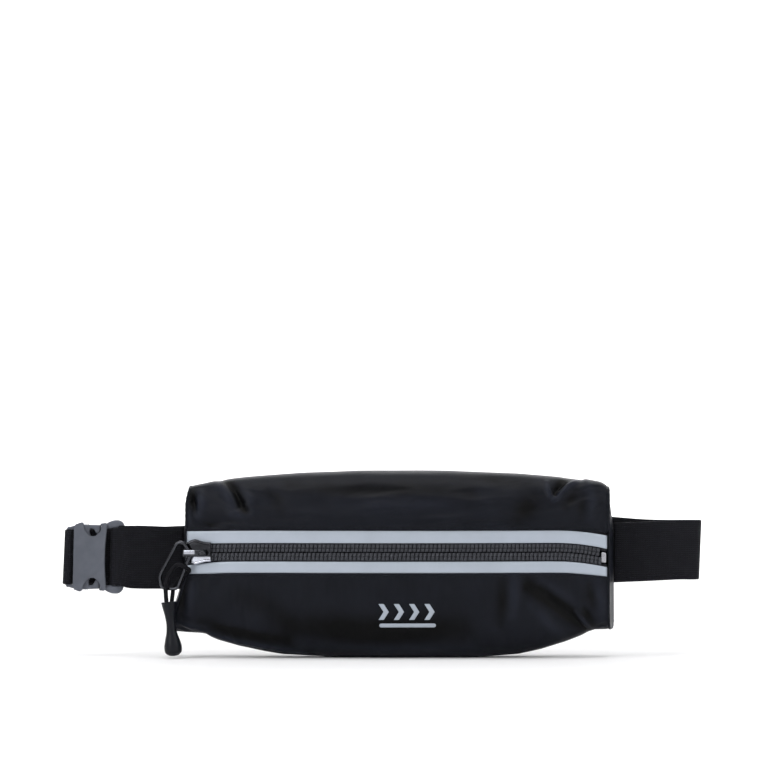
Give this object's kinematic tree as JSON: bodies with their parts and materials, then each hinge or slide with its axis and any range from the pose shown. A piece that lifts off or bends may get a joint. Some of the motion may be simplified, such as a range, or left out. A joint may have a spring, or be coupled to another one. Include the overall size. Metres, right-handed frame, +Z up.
{
  "type": "zipped running belt pouch",
  "caption": "Black zipped waist pouch on an elastic belt, with reflective bands along the zip, a corded zip pull and a side release buckle.",
  "frame": {"origin": "middle of the footprint, on the surface that the pouch's belly stands on", "axes": "+X along the belt with the buckle at -X, -Y is the pouch's front with the zip, +Z up as worn"},
  "size_m": [0.3188, 0.078, 0.094],
  "materials": {
    "shell_fabric": "matt black woven stretch fabric with a slight sheen",
    "zip_tape": "black woven zip tape",
    "zip_teeth": "black moulded teeth, satin",
    "stop_metal": "small bright crimped stops",
    "reflective_band": "silver grey retroreflective tape, fine glass bead texture",
    "slider_metal": "gunmetal black, glossy with bright edges",
    "pull_cord": "black braided cord",
    "tip_rubber": "matt black moulded rubber",
    "elastic_webbing": "black ribbed knitted elastic",
    "buckle_plastic": "dark grey moulded acetal, satin"
  },
  "bodies": {
    "pouch": {"front_upper_panel": "shell_fabric", "front_lower_panel": "shell_fabric", "back_panel": "shell_fabric", "left_end_panel": "shell_fabric", "right_end_panel": "shell_fabric", "upper_zip_tape": "zip_tape", "lower_zip_tape": "zip_tape", "upper_zip_teeth": "zip_teeth", "lower_zip_teeth": "zip_teeth", "upper_top_stop": "stop_metal", "lower_top_stop": "stop_metal", "bottom_stop": "stop_metal", "upper_reflective_band": "reflective_band", "lower_reflective_band": "reflective_band", "reflective_mark": "reflective_band", "left_belt": "elastic_webbing", "long_belt": "elastic_webbing", "plug_base": "buckle_plastic"},
    "slider": {"slider_body": "slider_metal", "slider_bridge": "slider_metal"},
    "ring": {"pull_ring": "slider_metal"},
    "tip": {"pull_tip": "tip_rubber", "pull_cord": "pull_cord"},
    "prong_upper": {"plug_prong_upper": "buckle_plastic"},
    "prong_lower": {"plug_prong_lower": "buckle_plastic"},
    "socket": {"socket_housing": "buckle_plastic"}
  },
  "joints": [
    {"name": "zip_travel", "type": "hinge", "parent": "pouch", "child": "slider", "pos_m": [0.0085, 0.39304, 0.053], "axis": [0, 0, 1], "range_deg": [0, 25.5]},
    {"name": "ring_flip", "type": "hinge", "parent": "slider", "child": "ring", "pos_m": [-0.09522, -0.03019, 0.0525], "axis": [0, 0, 1], "range_deg": [0, 150]},
    {"name": "tip_swing", "type": "hinge", "parent": "ring", "child": "tip", "pos_m": [-0.10514, -0.02783, 0.0347], "axis": [-0.2311, -0.9729, 0], "range_deg": [-30, 0], "deforming": ["pull_cord"]},
    {"name": "prong_upper_flex", "type": "hinge", "parent": "pouch", "child": "prong_upper", "pos_m": [-0.1426, -0.001, 0.0606], "axis": [0, -1, 0], "range_deg": [0, 12], "stiffness_Nm_per_rad": 0.05},
    {"name": "prong_lower_flex", "type": "hinge", "parent": "pouch", "child": "prong_lower", "pos_m": [-0.1426, -0.001, 0.039], "axis": [0, 1, 0], "range_deg": [0, 12], "stiffness_Nm_per_rad": 0.05},
    {"name": "buckle_release", "type": "slide", "parent": "pouch", "child": "socket", "axis": [-1, 0, 0], "range_m": [0, 0.025], "deforming": ["long_belt", "plug_prong_upper", "plug_prong_lower"]}
  ]
}
